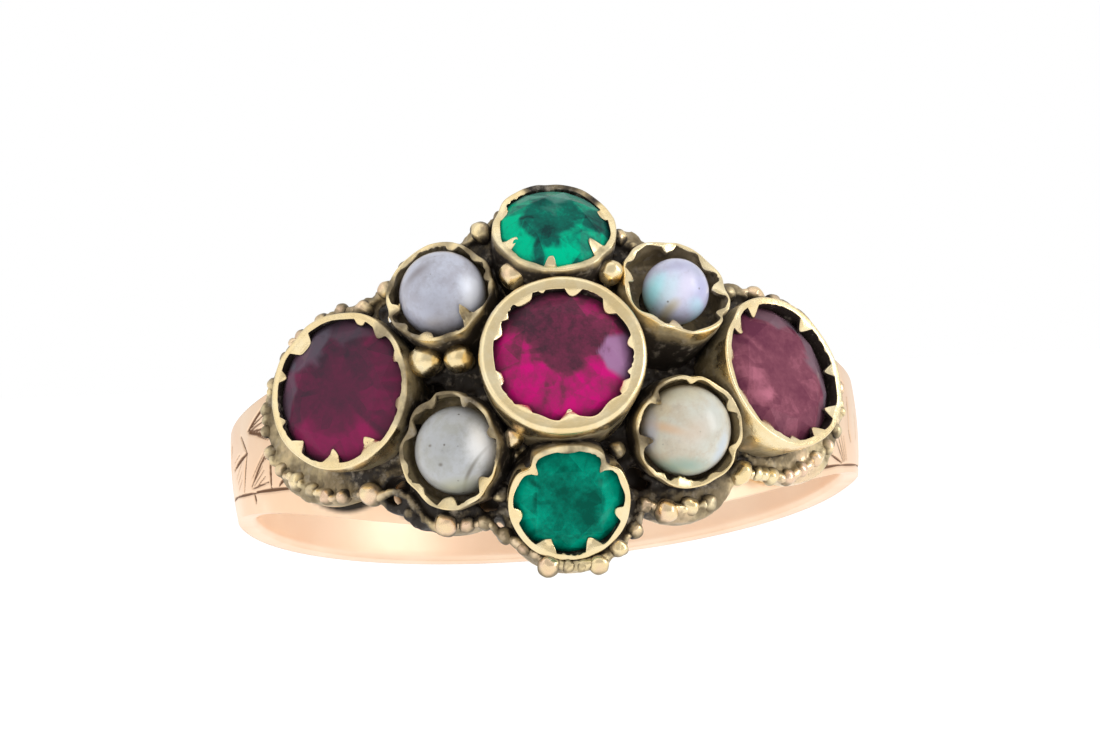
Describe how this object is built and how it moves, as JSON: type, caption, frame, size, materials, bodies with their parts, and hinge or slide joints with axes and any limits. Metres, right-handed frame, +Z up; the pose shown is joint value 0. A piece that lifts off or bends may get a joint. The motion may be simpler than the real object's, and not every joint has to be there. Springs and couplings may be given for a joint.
{
  "type": "cluster ring",
  "caption": "Antique cluster ring: rose-gold shank and a domed, scalloped yellow-gold head with rubies, emeralds and half-pearls in closed collets, lying on its side.",
  "frame": {"origin": "middle of the ring's box at its lowest point, on the table that it lies on", "axes": "+Z up from the table as the ring lies on its side; +Y from the head to the back of the shank; +X across the finger"},
  "size_m": [0.0196, 0.023, 0.0118],
  "materials": {
    "yellow_gold": "worn yellow gold with dark oxide in the recesses",
    "rose_gold": "polished rose gold",
    "ruby": "polished facets",
    "emerald": "polished facets",
    "pearl": "satin pearl lustre with small blemishes"
  },
  "bodies": {
    "root": {"ring_mount": "yellow_gold", "centre_ruby": "ruby", "left_ruby": "ruby", "right_ruby": "ruby", "top_emerald": "emerald", "bottom_emerald": "emerald", "upper_left_pearl": "pearl", "upper_right_pearl": "pearl", "lower_left_pearl": "pearl", "lower_right_pearl": "pearl"}
  },
  "joints": []
}
